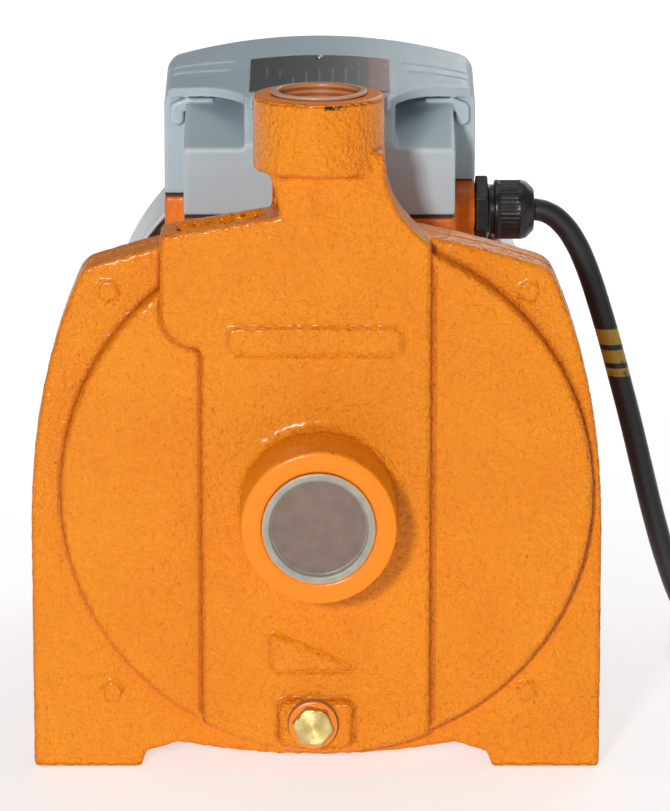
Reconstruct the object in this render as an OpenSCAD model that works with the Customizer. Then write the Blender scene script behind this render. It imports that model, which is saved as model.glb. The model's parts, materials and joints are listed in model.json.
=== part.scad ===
// Close-coupled centrifugal water pump with its motor, terminal box and mains lead.
// Millimetres, +Z up, -Y towards the suction port, +X to the cable gland's side.
// The origin is on the floor, midway between the two foot bolt holes.
// A "depth" is a distance behind the front face of the casing's flange.

/* [Casing] */
// Height of the shaft above the floor
axis_z = 107.5; // [107:0.5:108]
// Distance from the flange's front face back to the foot holes
front_gap = 48; // [46:0.5:52]
// Half width of the casing at its feet
base_half = 109.5; // [107:0.5:112]
// Radius of the raised volute disc
disc_r = 101.5; // [100:0.5:102]
// Outer radius of the suction boss
suction_boss_r = 29.5; // [28:0.5:30]
// How far the suction face stands in front of the flange
suction_reach = 47; // [44:1:52]
// Height of the discharge port's face
discharge_top = 264; // [262:1:268]
// Outer radius of the discharge boss
discharge_boss_r = 24.8; // [24:0.2:26]
// Thread core radius of the suction port, G 1 1/4
suction_bore_r = 19.475; // [19.4:0.025:19.55]
// Thread core radius of the discharge port, G 1
discharge_bore_r = 15.145; // [15.1:0.005:15.2]

/* [Feet] */
// Distance from the middle of the pump to each foot hole
foot_hole_x = 89; // [86:0.5:92]
// Radius of the foot holes
foot_hole_r = 5.5; // [5:0.25:6]

/* [Rotor] */
// Outer radius of the impeller
impeller_r = 75; // [70:1:78]
// Number of vanes in the impeller
vane_count = 6; // [5:1:7]
// Outer radius of the cooling fan
fan_r = 78; // [70:1:82]
// Number of fan blades
blade_count = 8; // [6:1:10]

/* [Motor] */
// Radius over the cooling fins
fin_r = 88; // [84:1:89]
// Number of cooling fins round the housing
fin_count = 30; // [30:1:30]
// Radius of the fan cover
cover_r = 93; // [92:0.5:95]
// Depth of the fan cover's back face
cover_back = 320; // [312:1:326]

/* [Terminal box] */
// Half width of the terminal box
box_half = 62; // [62:0.5:63]
// Half width of the cover's front part
nose_half = 53; // [50:0.5:54]
// Height of the seam between the base and the cover
seam_z = 206; // [205:0.5:207]
// Height of the roof's middle, at its front
roof_z = 252.5; // [251:0.5:255]
// Slope of the roof towards the back, in degrees
roof_slope = 7.3; // [6:0.1:8]

/* [Mains lead] */
// Radius of the lead
cord_r = 4.5; // [4:0.1:4.5]
// Radius of the middle of the coiled turns
coil_r = 54; // [54:0.5:56]

/* [Hidden] */
round_fn = 96;
small_fn = 48;
lap = 1;

// Depths of the casting's faces, front to back.
disc_face = -8;
band_face = -12;
flange_back = 14;
bracket_back = 26;
web_front = 54;
web_back = 60;
housing_back = 236;
shield_back = 250;

// The volute disc and its chamber sit a little off the shaft.
disc_x = 3;
disc_z = axis_z + 3;
chamber_r = 90;
recess_r = 88;
recess_floor = 20;
chamber_front = -1;
seal_groove = [92, 95];
seal_groove_front = 11.5;

// Bolts through the two flanges.
bolt_x = 80;
bolt_z = [30.5, 188.3];
bolt_front = 4;
bolt_shank_r = 4;
bolt_head_h = 5.3;
bolt_head_r = 7.5;

// The flange's outline.
outline_shift = -1;
lean_from = 91.5;
lean_2 = 0.001122;
lean_3 = 0.00000688;
corner_r = 10;
corner_z = 193;
corner_low = 23;
corner_high = 73;
top_rise = 0.32;
top_sag = 0.0014;
belly_half = 53;
belly_low = 5;
belly_high = 10;
belly_r = (belly_half * belly_half + pow(belly_high - belly_low, 2)) / (2 * (belly_high - belly_low));
foot_inner = 68;
foot_step = [66, 6.3];
foot_back = 62;
foot_t = 12;

// Ports.
suction_relief_r = 21.2;
relief_deep = 6;
suction_thread_end = -20;
throat_r = 17.5;
discharge_depth = 4;
discharge_relief_r = 16.9;
discharge_boss_z = 235.5;
discharge_thread_z = 236;
neck_low = 199;
drain = [-2.3, 22.1];
drain_bore_r = 6;
drain_face = -15;
drain_washer_t = 1.2;
drain_shank_r = 5.9;

// Wear ring, impeller and seal.
ring_span = [-9, -1];
ring_bore_r = 23.3;
ring_r = 27;
hub_r = 13;
hub_front = 8;
hub_back = 24;
shroud_t = 2.5;
vane_span = [4.5, 13.5];
vane_t = 3;
vane_wrap = 105;
vane_in_r = 24;
neck_r = [20, 23];
neck_front = -8.5;
key_w = 5;
key_span = [10, 22];
key_r = [4.5, 9.5];
seal_r = 12;
seat_front = 33;
seat_back = 40;
seat_r = 14.5;
seal_gap = 0.1;
seal_face_t = 4;

// Shaft.
thread_r = 6;
nose_r = 7;
journal_r = 8.5;
shoulder_r = 10.5;
tail_r = 7.5;
shaft_front = -3;
shaft_back = 292;

// Ball bearings, 17 x 40 x 12.
bearing_t = 12;
bearing_r = 20;
bearing_inner_r = 12.3;
bearing_outer_r = 16.9;
ball_pitch_r = 14.25;
ball_r = 3.35;
race_r = 3.45;
ball_count = 8;
front_bearing = 58;
rear_bearing = 230;

// Motor.
bore_r = 66;
tube_r = 72;
fin_t = 3;
collar_r = 82;
collar_t = 6;
core_span = [105, 185];
rotor_r = 35.7;
stator_in_r = 36.2;
slot_count = 24;
slot_r = [38, 56];
slot_w = 5;
winding_r = [40, 60];
winding_span = [78, 212];
slot_play = 0.2;
rod_r = 2.5;
rod_circle = 77;
rod_angles = [48, 132, 228, 312];
shield_r = 84;
lug_r = 90.9;
lug_w = 16;
cover_wall = 2;
cover_front = 242;
cover_screw_depth = 246;
screw_angles = [0, 90, 180, 270];

// Terminal box.
box_front = 61;
nose_back = 107;
box_back = 155;
box_wall = 3;
base_low = 152;
base_floor = 184;
gasket_t = 1;
nose_top = [232.5, 244.5];
spine_half = 29.5;
spine_top = 234.5;
roof_ref = 76;
roof_r = 218;
shell_t = 2.5;
lobe_r = 12.4;
lobe_play = 0.3;
screw_x = 54;
screw_depth = 148;
screw_well_r = 4.2;
screw_hole_r = 2;
screw_shank_r = 1.8;
head_z = 215;

// Inside the terminal box.
block = [44, 18, 13];
block_x = -36;
block_depth = 72;
capacitor_r = 17;
capacitor_depth = 130;
capacitor_z = 204;

// Cable gland, on the +X side of the terminal box.
gland_y = 62;
gland_z = 199;
gland_hex_r = 13.86;
gland_stop = 67;
gland_neck = 69.5;
gland_shoulder = 81;
gland_end = 85.5;
gland_thread_r = 10;
gland_seal_r = 8;
gland_overlap = 6;

// The lead runs from the gland to the floor and into the coil, then on to the plug.
cord_fn = 12;
lead_route = [
    [72, 62, 199], [79, 62, 199], [86, 62, 199], [91.8, 62, 197.4], [97.6, 62, 192.6],
    [102.4, 62, 185.6], [106, 62, 178], [109, 62, 170], [112.2, 62, 160],
    [115.8, 62, 148], [120.3, 62, 131.5], [125.2, 62, 113], [130, 62, 93.5],
    [135, 62, 73.5], [140.5, 62, 54.5], [147, 62, 37.2], [155, 62, 22.5],
    [165, 62, 11.5], [177, 62, 5.8], [190, 62, 4.6], [200, 62, 4.6], [210, 62, 4.6]
];
tail_route = [
    [268.5, 120, 13.5], [268.5, 128, 13.5], [268.5, 137, 13.2], [268.5, 146, 12.4],
    [268.5, 155, 11.5], [268.5, 163, 11]
];
coil_centre = [210, 120.5];
coil_half = 9;
coil_h = 18;
plug_x = 268.5;
plug_y = 163;
plug_z = 11;
plug_h = 22;
plug_length = 62;

paint = "#f08523";
grey_plastic = "#93a1a5";
steel = "#b9bcbf";
brass = "#c9a24b";
black = "#1a1a1a";

// ---- helpers ----

function at(depth) = depth - front_gap;

// An outline in X and Z, extruded from one depth to another.
module slab(from, to) {
    translate([0, at(to), 0]) rotate([90, 0, 0]) linear_extrude(to - from) children();
}

// A round bar along Y.
module bar(x, z, r, from, to, fn = round_fn) {
    translate([x, at(from), z]) rotate([-90, 0, 0]) cylinder(r = r, h = to - from, $fn = fn);
}

// A round bar on the shaft's axis.
module drum(r, from, to, fn = round_fn) {
    bar(0, axis_z, r, from, to, fn);
}

// A profile of [radius, depth] points, turned about the shaft's axis.
module lathe(profile) {
    translate([0, 0, axis_z]) rotate([-90, 0, 0]) rotate_extrude($fn = round_fn)
        polygon([for (p = profile) [p[0], at(p[1])]]);
}

module ring(inner, outer, from, to) {
    lathe([[inner, from], [outer, from], [outer, to], [inner, to]]);
}

// Children are placed at each angle round the shaft's axis.
module around(angles) {
    for (a = angles) translate([0, 0, axis_z]) rotate([0, -a, 0]) translate([0, 0, -axis_z]) children();
}

// A block that stands out from the shaft's axis along +X.
module spoke(inner, outer, width, from, to) {
    translate([inner, at(from), axis_z - width / 2]) cube([outer - inner, to - from, width]);
}

// A bar along X at the height and depth of the cable gland.
module gland_bar(r, from, to, fn = small_fn) {
    translate([from, gland_y, gland_z]) rotate([0, 90, 0]) cylinder(r = r, h = to - from, $fn = fn);
}

// A tube swept along a route: a ring of points square to the route at each of its points.
function unit(v) = v / norm(v);
function heading(route, i) = unit(route[min(i + 1, len(route) - 1)] - route[max(i - 1, 0)]);
function side_of(v) = unit(cross(v, abs(v[1]) < 0.9 ? [0, 1, 0] : [1, 0, 0]));
function sweep_points(route, r, sides) = [
    for (i = [0:len(route) - 1])
        let (v = heading(route, i), s = side_of(v), t = cross(v, s))
            for (k = [0:sides - 1])
                route[i] + r * (cos(360 * k / sides) * s + sin(360 * k / sides) * t)
];
function sweep_faces(count, sides) = concat(
    [[for (k = [0:sides - 1]) k]],
    [
        for (i = [0:count - 2]) for (k = [0:sides - 1])
            let (a = i * sides + k, b = i * sides + (k + 1) % sides)
                [a, a + sides, b + sides, b]
    ],
    [[for (k = [sides - 1:-1:0]) (count - 1) * sides + k]]
);
module sweep(route, r, sides) {
    polyhedron(sweep_points(route, r, sides), sweep_faces(len(route), sides), convexity = 6);
}

// ---- outlines ----

function side_drop(z) =
    let (t = max(0, z - lean_from)) lean_2 * t * t + lean_3 * t * t * t;
function side_x(z) = base_half - side_drop(z);
corner_mid = [
    side_x(corner_z) - corner_r * cos(corner_low),
    corner_z - corner_r * sin(corner_low)
];
corner_end = corner_mid + corner_r * [cos(corner_high), sin(corner_high)];
function top_z(x) =
    let (t = corner_end[0] - x) corner_end[1] + top_rise * t - top_sag * t * t;
function belly_z(x) = belly_low + belly_r - sqrt(belly_r * belly_r - x * x);

module half_outline() {
    belly_step = belly_half / 8;
    side_step = 10;
    corner_step = 10;
    top_step = corner_end[0] / 8;
    polygon(concat(
        [for (x = [0:belly_step:belly_half]) [x, belly_z(x)]],
        [foot_step, [foot_inner, 0], [base_half - lap, 0], [base_half, lap]],
        [for (z = [lean_from:side_step:corner_z]) [side_x(z), z]],
        [
            for (a = [corner_low + corner_step:corner_step:corner_high])
                corner_mid + corner_r * [cos(a), sin(a)]
        ],
        [for (x = [corner_end[0]:-top_step:0]) [x, top_z(x)]],
        [[0, top_z(0)]]
    ));
}

module flange_outline() {
    translate([outline_shift, 0]) {
        half_outline();
        mirror([1, 0]) half_outline();
    }
}

module disc_outline(r) {
    translate([disc_x, disc_z]) circle(r = r, $fn = round_fn);
}

// The raised band runs down the middle of the disc.
module band_outline() {
    band = [-44.6, 42.4];
    intersection() {
        disc_outline(disc_r);
        translate([band[0], 0]) square([band[1] - band[0], discharge_top]);
    }
}

// The upper left block beside the neck, with a rounded lower corner.
module block_outline() {
    block = [-60, -14];
    low = 168.5;
    top = [212, 219.7];
    fillet = 14;
    fillet_step = 15;
    polygon(concat(
        [[block[1], top[1]], [block[0], top[0]]],
        [
            for (a = [180:fillet_step:270])
                [block[0] + fillet * (1 + cos(a)), low + fillet * (1 + sin(a))]
        ],
        [[block[1], low]]
    ));
}

// The neck rises from the band and leans in on its right side.
module neck_outline() {
    polygon([
        [-18, 243.5], [-18, 234.5], [-15.5, 225], [-14, 217], [-14, neck_low],
        [42.4, neck_low], [42.4, 208.5], [37.3, 212.5], [33, 217], [30, 221], [27.5, 226],
        [25.8, 231.5], [24.9, 238], [24.8, 243.5]
    ]);
}

// ---- casing and bracket ----

// The boss is turned on its side down to a crease, where the cast fillet is left.
module suction_boss() {
    fillet = 8;
    crease = 45;
    fillet_step = 15;
    mid = [suction_boss_r + fillet * cos(crease), band_face - fillet];
    lathe(concat(
        [[0, disc_face], [0, -suction_reach], [suction_boss_r, -suction_reach]],
        [
            for (a = [crease:fillet_step:90])
                [mid[0] - fillet * cos(a), mid[1] + fillet * sin(a)]
        ],
        [[mid[0], disc_face]]
    ));
}

module drain_pad() {
    pad = [-15, 12.5];
    pad_low = 12.2;
    pad_high = 30.4;
    slab(drain_face, disc_face) translate([pad[0], pad_low])
        square([pad[1] - pad[0], pad_high - pad_low]);
}

// Cast marks: a flow triangle, a blank bar and a round pad over each blind bolt hole.
module cast_marks() {
    raise = 0.7;
    pad_r = 3.9;
    triangle_x = [-18.2, 15.2];
    triangle_z = [42.2, 57];
    bar_x = [-34, 31];
    bar_z = [166.5, 176.5];
    slab(band_face - raise, band_face + lap) polygon([
        [triangle_x[0], triangle_z[1]], [triangle_x[0], triangle_z[0]], [triangle_x[1], triangle_z[0]]
    ]);
    slab(band_face - raise, band_face + lap) translate([bar_x[0], bar_z[0]])
        square([bar_x[1] - bar_x[0], bar_z[1] - bar_z[0]]);
    for (x = [-bolt_x, bolt_x]) for (z = bolt_z) bar(x, z, pad_r, -raise, lap, small_fn);
}

module suction_way() {
    drum(suction_relief_r, -suction_reach - lap, -suction_reach + relief_deep);
    drum(suction_bore_r, -suction_reach, suction_thread_end);
    drum(throat_r, suction_thread_end - lap, chamber_front);
    drum(ring_r, ring_span[0], ring_span[1] + lap);
}

module discharge_way() {
    slot_half = 13;
    slot_depth = [-5, 11];
    slot_z = 190;
    way_r = 13.5;
    way_z = 219;
    translate([0, at(discharge_depth), 0]) {
        translate([0, 0, discharge_top - relief_deep])
            cylinder(r = discharge_relief_r, h = relief_deep + lap, $fn = round_fn);
        translate([0, 0, discharge_thread_z])
            cylinder(r = discharge_bore_r, h = discharge_top - discharge_thread_z, $fn = round_fn);
        translate([0, 0, way_z])
            cylinder(r = way_r, h = discharge_thread_z - way_z + lap, $fn = round_fn);
    }
    translate([-slot_half, at(slot_depth[0]), slot_z])
        cube([2 * slot_half, slot_depth[1] - slot_depth[0], way_z + lap - slot_z]);
}

module casting_pocket() {
    pocket_x = [-54, -22];
    pocket_depth = [-6, 8];
    pocket_z = [173, 228];
    translate([pocket_x[0], at(pocket_depth[0]), pocket_z[0]])
        cube([pocket_x[1] - pocket_x[0], pocket_depth[1] - pocket_depth[0], pocket_z[1] - pocket_z[0]]);
}

module blind_bolt_holes() {
    play = 0.1;
    for (x = [-bolt_x, bolt_x]) for (z = bolt_z)
        bar(x, z, bolt_shank_r + play, bolt_front - lap, flange_back + lap, small_fn);
}

module pump_casing() {
    rear_half = 18;
    rear_low = 217;
    rear_back = 20;
    color(paint) difference() {
        union() {
            slab(0, flange_back) flange_outline();
            slab(disc_face, lap) disc_outline(disc_r);
            slab(band_face, disc_face + lap) band_outline();
            slab(band_face, flange_back) block_outline();
            slab(band_face, flange_back) neck_outline();
            slab(flange_back - lap, rear_back)
                translate([-rear_half, rear_low])
                    square([2 * rear_half, discharge_boss_z + lap - rear_low]);
            translate([0, at(discharge_depth), discharge_boss_z])
                cylinder(r = discharge_boss_r, h = discharge_top - discharge_boss_z, $fn = round_fn);
            suction_boss();
            drain_pad();
            cast_marks();
        }
        bar(disc_x, disc_z, chamber_r, chamber_front, flange_back + lap);
        translate([disc_x, 0, disc_z - axis_z])
            ring(seal_groove[0], seal_groove[1], seal_groove_front, flange_back + lap);
        suction_way();
        discharge_way();
        casting_pocket();
        blind_bolt_holes();
        bar(drain[0], drain[1], drain_bore_r, drain_face - lap, chamber_front + lap, small_fn);
    }
}

module wear_ring() {
    color("#b08d4a") ring(ring_bore_r, ring_r, ring_span[0], ring_span[1]);
}

module casing_seal() {
    color("#222222") translate([disc_x, 0, disc_z - axis_z])
        ring(seal_groove[0], seal_groove[1], seal_groove_front, flange_back);
}

// Foot pads with gussets, behind the flange.
module feet() {
    gusset = [66, 71.5];
    gusset_top = 60;
    gusset_back = 56;
    for (side = [0, 1]) mirror([side, 0, 0]) {
        translate([gusset[0], at(bracket_back - lap), 0])
            cube([base_half + outline_shift - gusset[0], foot_back - bracket_back + lap, foot_t]);
        translate([gusset[0], 0, 0]) rotate([90, 0, 90]) linear_extrude(gusset[1] - gusset[0])
            polygon([
                [at(bracket_back - lap), 0], [at(gusset_back), 0],
                [at(gusset_back), foot_t], [at(bracket_back - lap), gusset_top]
            ]);
    }
}

module motor_bracket() {
    seal_hub_r = 24;
    seal_hub_back = 44;
    seal_room_r = 19;
    seal_room_back = 32;
    seat_exit_r = 9;
    lantern = [62, 70];
    window_half = 17;
    window = [30, 50];
    bearing_hub_r = 27;
    bearing_hub_back = 72;
    lip_r = 12;
    spigot = [56, 65.95];
    spigot_back = 68;
    bolt_hole_r = 4.5;
    rod_tap_r = 2.6;
    color(paint) difference() {
        union() {
            slab(flange_back, bracket_back) flange_outline();
            drum(seal_hub_r, bracket_back - lap, seal_hub_back);
            ring(lantern[0], lantern[1], bracket_back - lap, web_front + lap);
            drum(shield_r, web_front, web_back);
            drum(bearing_hub_r, web_back - lap, bearing_hub_back);
            ring(spigot[0], spigot[1], web_back - lap, spigot_back);
            feet();
        }
        bar(disc_x, disc_z, recess_r, flange_back - lap, recess_floor);
        drum(seal_room_r, recess_floor - lap, seal_room_back);
        drum(seat_r, seal_room_back - lap, seat_back);
        drum(seat_exit_r, seat_back - lap, seal_hub_back + lap);
        drum(lip_r, web_front - lap, front_bearing + lap);
        drum(bearing_r, front_bearing, bearing_hub_back + lap);
        around([0, 180])
            spoke(lantern[0] - 2 * lap, lantern[1] + lap, 2 * window_half, window[0], window[1]);
        around(rod_angles) bar(rod_circle, axis_z, rod_tap_r, web_front - lap, web_back + lap, small_fn);
        for (x = [-bolt_x, bolt_x]) for (z = bolt_z)
            bar(x, z, bolt_hole_r, flange_back - lap, bracket_back + lap, small_fn);
        for (x = [-foot_hole_x, foot_hole_x])
            translate([x, 0, -lap]) cylinder(r = foot_hole_r, h = foot_t + 2 * lap, $fn = small_fn);
    }
}

module casing_bolts() {
    color(steel) for (x = [-bolt_x, bolt_x]) for (z = bolt_z) {
        bar(x, z, bolt_head_r, bracket_back, bracket_back + bolt_head_h, 6);
        bar(x, z, bolt_shank_r, bolt_front, bracket_back + lap, small_fn);
    }
}

module drain_plug() {
    collar_front = -18.2;
    plug_collar_r = 9.4;
    hex_r = 8.08;
    hex_turn = 10;
    hex_front = -21.5;
    shank_back = -4;
    seat = drain_face - drain_washer_t;
    color(brass) {
        translate([drain[0], at(hex_front), drain[1]]) rotate([-90, hex_turn, 0])
            cylinder(r = hex_r, h = collar_front + lap - hex_front, $fn = 6);
        bar(drain[0], drain[1], plug_collar_r, collar_front, seat, small_fn);
        bar(drain[0], drain[1], drain_shank_r, seat - lap, shank_back, small_fn);
    }
}

module drain_washer() {
    washer_r = 9.9;
    front = drain_face - drain_washer_t;
    color("#8a5a3c") difference() {
        bar(drain[0], drain[1], washer_r, front, drain_face, small_fn);
        bar(drain[0], drain[1], drain_shank_r, front - lap, drain_face + lap, small_fn);
    }
}

// Push-in plastic closures that keep dirt out of the ports until the pipes are fitted.
module suction_cap() {
    flange_r = 21.5;
    skirt_r = 20.9;
    skirt_in_r = 18.5;
    lip = 1;
    skirt = 5.2;
    floor_gap = 1.2;
    floor_t = 1.2;
    color("#a5a59a") {
        difference() {
            union() {
                drum(flange_r, -suction_reach - lip, -suction_reach);
                drum(skirt_r, -suction_reach - lip, -suction_reach + skirt);
            }
            drum(skirt_in_r, -suction_reach - lip - lap, -suction_reach + skirt + lap);
        }
        drum(skirt_in_r + lip, -suction_reach + floor_gap, -suction_reach + floor_gap + floor_t);
    }
}

module discharge_cap() {
    flange_r = 18.35;
    skirt_r = 16.6;
    opening_r = 15.3;
    lip = 1.4;
    skirt = 5.2;
    color("#a5a59a") translate([0, at(discharge_depth), discharge_top])
        rotate_extrude($fn = round_fn)
            polygon([
                [opening_r, -skirt], [skirt_r, -skirt], [skirt_r, 0],
                [flange_r, 0], [flange_r, lip], [opening_r, lip]
            ]);
}

// ---- rotor ----

// The key and its keyways share this space above the shaft's axis.
module key_space() {
    translate([-key_w / 2, at(key_span[0]), axis_z + key_r[0]])
        cube([key_w, key_span[1] - key_span[0], key_r[1] - key_r[0]]);
}

module shaft() {
    color("#c4c7ca") difference() {
        lathe([
            [0, shaft_front], [thread_r, shaft_front], [thread_r, hub_front],
            [nose_r, hub_front], [nose_r, web_front - lap],
            [journal_r, web_front - lap], [journal_r, front_bearing + bearing_t],
            [shoulder_r, front_bearing + bearing_t], [shoulder_r, rear_bearing],
            [journal_r, rear_bearing], [journal_r, rear_bearing + bearing_t + lap],
            [tail_r, rear_bearing + bearing_t + lap], [tail_r, shaft_back], [0, shaft_back]
        ]);
        key_space();
    }
}

// A point at a share of a backward-curved vane's length, offset square to its line.
function vane_point(share, offset) =
    let (
        r = vane_in_r + share * (impeller_r - vane_in_r),
        a = -vane_wrap * share,
        lean = a - atan2(r * vane_wrap * PI / 180, impeller_r - vane_in_r)
    )
        [r * cos(a) - offset * sin(lean), axis_z + r * sin(a) + offset * cos(lean)];

module vane() {
    steps = 10;
    slab(vane_span[0] - shroud_t / 2, vane_span[1] + shroud_t / 2)
        intersection() {
            polygon(concat(
                [for (i = [0:steps]) vane_point(i / steps, vane_t / 2)],
                [for (i = [steps:-1:0]) vane_point(i / steps, -vane_t / 2)]
            ));
            translate([0, axis_z]) circle(r = impeller_r - lap / 2, $fn = round_fn);
        }
}

module impeller() {
    color("#b58b45") difference() {
        union() {
            lathe([
                [neck_r[0], neck_front], [neck_r[1], neck_front],
                [neck_r[1], vane_span[0] - shroud_t], [impeller_r, vane_span[0] - shroud_t],
                [impeller_r, vane_span[0]], [neck_r[0], vane_span[0]]
            ]);
            ring(0, impeller_r, vane_span[1], vane_span[1] + shroud_t);
            drum(hub_r, hub_front, hub_back);
            around([for (i = [0:vane_count - 1]) 360 * i / vane_count]) vane();
        }
        drum(nose_r, hub_front - lap, hub_back + lap);
        key_space();
    }
}

module impeller_key() {
    color(steel) key_space();
}

module impeller_nut() {
    nut_r = 10.9;
    color(brass) difference() {
        drum(nut_r, 0, hub_front, 6);
        drum(thread_r, -lap, hub_front + lap);
    }
}

module seal_head() {
    sleeve_r = 9;
    back = seat_front - seal_gap;
    color("#333638") lathe([
        [nose_r, hub_back], [sleeve_r, hub_back], [sleeve_r, back - seal_face_t],
        [seal_r, back - seal_face_t], [seal_r, back], [nose_r, back]
    ]);
}

module seal_spring() {
    turns = 4;
    wire_r = 0.62;
    coil = 10.4;
    clear = 0.1;
    from = hub_back + clear + wire_r;
    to = seat_front - seal_gap - seal_face_t - clear - wire_r;
    pitch = (to - from) / (turns - 1);
    color(steel) translate([0, at(from), axis_z]) rotate([-90, 0, 0]) rotate_extrude($fn = round_fn)
        for (i = [0:turns - 1]) translate([coil, i * pitch]) circle(r = wire_r, $fn = small_fn);
}

module seal_seat() {
    bore = 8.2;
    color("#e8e4da") ring(bore, seat_r, seat_front, seat_back);
}

module slinger() {
    collar = 10;
    rim = 16;
    span = [45.5, 51.5];
    rim_span = [47, 49];
    color("#2b2b2b") lathe([
        [nose_r, span[0]], [collar, span[0]], [rim, rim_span[0]],
        [rim, rim_span[1]], [collar, span[1]], [nose_r, span[1]]
    ]);
}

module race_groove(depth) {
    translate([0, at(depth), axis_z]) rotate([-90, 0, 0]) rotate_extrude($fn = round_fn)
        translate([ball_pitch_r, 0]) circle(r = race_r, $fn = small_fn);
}

module inner_race(depth) {
    color("#d0d3d6") difference() {
        ring(journal_r, bearing_inner_r, depth, depth + bearing_t);
        race_groove(depth + bearing_t / 2);
    }
}

module outer_race(depth) {
    color("#d0d3d6") difference() {
        ring(bearing_outer_r, bearing_r, depth, depth + bearing_t);
        race_groove(depth + bearing_t / 2);
    }
}

// Balls joined by their cage.
module ball_set(depth) {
    cage = [13.5, 15];
    cage_half = 4.5;
    middle = depth + bearing_t / 2;
    color("#d8dadc") {
        ring(cage[0], cage[1], middle - cage_half, middle + cage_half);
        around([for (i = [0:ball_count - 1]) 360 * i / ball_count])
            translate([ball_pitch_r, at(middle), axis_z]) sphere(r = ball_r, $fn = small_fn);
    }
}

module front_inner_race() { inner_race(front_bearing); }
module front_outer_race() { outer_race(front_bearing); }
module front_balls() { ball_set(front_bearing); }
module rear_inner_race() { inner_race(rear_bearing); }
module rear_outer_race() { outer_race(rear_bearing); }
module rear_balls() { ball_set(rear_bearing); }

module wave_spring() {
    spring_t = 2;
    spring_r = [16.5, 19.5];
    front = rear_bearing + bearing_t;
    color(steel) ring(spring_r[0], spring_r[1], front, front + spring_t);
}

module rotor_core() {
    end_ring = [24, 34];
    end_t = 6;
    vane_h = 5;
    color("#8d9093") {
        ring(shoulder_r, rotor_r, core_span[0], core_span[1]);
        ring(end_ring[0], end_ring[1], core_span[0] - end_t, core_span[1] + end_t);
        around([0:45:315])
            spoke(
                end_ring[0] + lap, end_ring[1] - lap, end_t / 2,
                core_span[0] - end_t - vane_h, core_span[1] + end_t + vane_h
            );
    }
}

// ---- motor ----

module stator_core() {
    slot_mouth = 2;
    color("#6d7073") difference() {
        ring(stator_in_r, bore_r, core_span[0], core_span[1]);
        around([for (i = [0:slot_count - 1]) 360 * i / slot_count]) {
            spoke(slot_r[0], slot_r[1], slot_w, core_span[0] - lap, core_span[1] + lap);
            spoke(stator_in_r - lap, slot_r[0] + lap, slot_mouth, core_span[0] - lap, core_span[1] + lap);
        }
    }
}

module end_winding(from, to) {
    rounding = 5;
    lathe([
        [winding_r[0], from + rounding], [winding_r[0] + rounding, from],
        [winding_r[1] - rounding, from], [winding_r[1], from + rounding],
        [winding_r[1], to - rounding], [winding_r[1] - rounding, to],
        [winding_r[0] + rounding, to], [winding_r[0], to - rounding]
    ]);
}

module stator_windings() {
    color("#b4622f") {
        end_winding(winding_span[0], core_span[0] - lap);
        end_winding(core_span[1] + lap, winding_span[1]);
        around([for (i = [0:slot_count - 1]) 360 * i / slot_count])
            spoke(
                winding_r[0] + slot_play, slot_r[1] - slot_play, slot_w - 2 * slot_play,
                core_span[0] - 2 * lap, core_span[1] + 2 * lap
            );
    }
}

// Fins that would meet the terminal box start behind it.
function under_box(angle) = abs(cos(angle)) * tube_r < box_half - 2 * fin_t && sin(angle) > 0;

module fin_outline(angles) {
    root_r = tube_r - fin_t;
    for (a = angles) rotate(a) translate([root_r, -fin_t / 2]) square([fin_r - root_r, fin_t]);
}

module finned_tube(angles, outer, from, to) {
    slab(from, to) translate([0, axis_z]) difference() {
        union() {
            circle(r = outer, $fn = round_fn);
            fin_outline(angles);
        }
        circle(r = bore_r, $fn = round_fn);
    }
}

module motor_housing() {
    rod_hole_r = 3.2;
    collar_front = housing_back - collar_t;
    fin_angles = [for (i = [0:fin_count - 1]) 360 * (i + 0.5) / fin_count];
    side_fins = [for (a = fin_angles) if (!under_box(a)) a];
    color(paint) {
        finned_tube(side_fins, tube_r, web_back, box_back);
        finned_tube(fin_angles, tube_r, box_back, collar_front);
        difference() {
            finned_tube(fin_angles, collar_r, collar_front, housing_back);
            around(rod_angles)
                bar(rod_circle, axis_z, rod_hole_r, collar_front - lap, housing_back + lap, small_fn);
        }
    }
}

module rear_end_shield() {
    rim_in = 60;
    spigot_r = 65.95;
    spigot_front = 228;
    web_front_face = 244;
    hub_out = 26;
    hub_from = 227;
    lug_root = 2;
    lug_set = 4;
    exit_r = 9.5;
    rod_hole_r = 3;
    screw_hole_r = 2;
    color(paint) difference() {
        union() {
            ring(rim_in, shield_r, housing_back, shield_back);
            ring(rim_in, spigot_r, spigot_front, housing_back + lap);
            drum(rim_in + lap, web_front_face, shield_back);
            drum(hub_out, hub_from, shield_back);
            intersection() {
                ring(shield_r - lug_root, lug_r, housing_back + lug_set, shield_back);
                around(screw_angles)
                    spoke(shield_r - 2 * lug_root, lug_r + lap, lug_w, housing_back, shield_back + lap);
            }
        }
        drum(bearing_r, hub_from - lap, web_front_face);
        drum(exit_r, web_front_face - lap, shield_back + lap);
        around(rod_angles)
            bar(rod_circle, axis_z, rod_hole_r, housing_back - lap, shield_back + lap, small_fn);
        around(screw_angles) translate([shield_r - lug_root, at(cover_screw_depth), axis_z])
            rotate([0, 90, 0]) cylinder(r = screw_hole_r, h = lug_r, $fn = small_fn);
    }
}

module tie_rods() {
    head_r = 4.4;
    head_t = 4;
    color(steel) around(rod_angles) {
        bar(rod_circle, axis_z, rod_r, web_front, shield_back + lap, small_fn);
        bar(rod_circle, axis_z, head_r, shield_back, shield_back + head_t, 6);
    }
}

module fan() {
    hub_span = [262, 288];
    hub_out = 13;
    disc_out = 42;
    disc_t = 2.5;
    blade_t = 2.4;
    color("#3a3d40") difference() {
        union() {
            drum(hub_out, hub_span[0], hub_span[1]);
            drum(disc_out, hub_span[0], hub_span[0] + disc_t);
            around([for (i = [0:blade_count - 1]) 360 * i / blade_count])
                spoke(hub_out - lap, fan_r, blade_t, hub_span[0], hub_span[1] - lap);
        }
        drum(tail_r, hub_span[0] - lap, hub_span[1] + lap);
    }
}

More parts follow.
